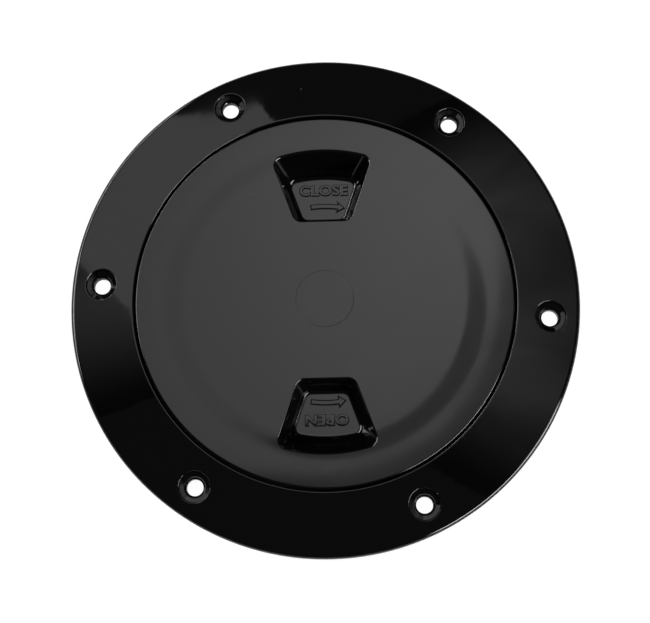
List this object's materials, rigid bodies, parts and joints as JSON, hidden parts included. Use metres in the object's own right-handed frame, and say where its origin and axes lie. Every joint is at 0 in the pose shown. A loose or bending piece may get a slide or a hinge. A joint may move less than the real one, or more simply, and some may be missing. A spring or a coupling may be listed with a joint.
{
  "type": "deck inspection plate",
  "caption": "Round screw-in deck plate: a flanged ring with a threaded neck, and a flush lid with two finger pockets that unscrews for access.",
  "frame": {"origin": "centre of the screw circle, on the flange's underside, which is the deck surface", "axes": "+Z out of the deck through the lid, with the neck below; the first screw hole lies on +X"},
  "size_m": [0.147, 0.147, 0.0257],
  "materials": {
    "ring_plastic": "glossy moulded ABS, black",
    "lid_plastic": "glossy moulded ABS, black",
    "seal_rubber": "matt black rubber"
  },
  "bodies": {
    "ring": {"mounting_ring": "ring_plastic"},
    "seal": {"lid_seal": "seal_rubber"},
    "lid": {"lid": "lid_plastic"}
  },
  "joints": [
    {"name": "lid_rise", "type": "slide", "parent": "ring", "child": "seal", "axis": [0, 0, 1], "range_m": [0, 0.00876]},
    {"name": "lid_turn", "type": "hinge", "parent": "seal", "child": "lid", "pos_m": [0, 0, 0], "axis": [0, 0, 1], "range_deg": [0, 630]}
  ],
  "couplings": [
    {"joint": "lid_rise", "follows": "lid_turn", "m_per_rad": 0.00079577}
  ]
}
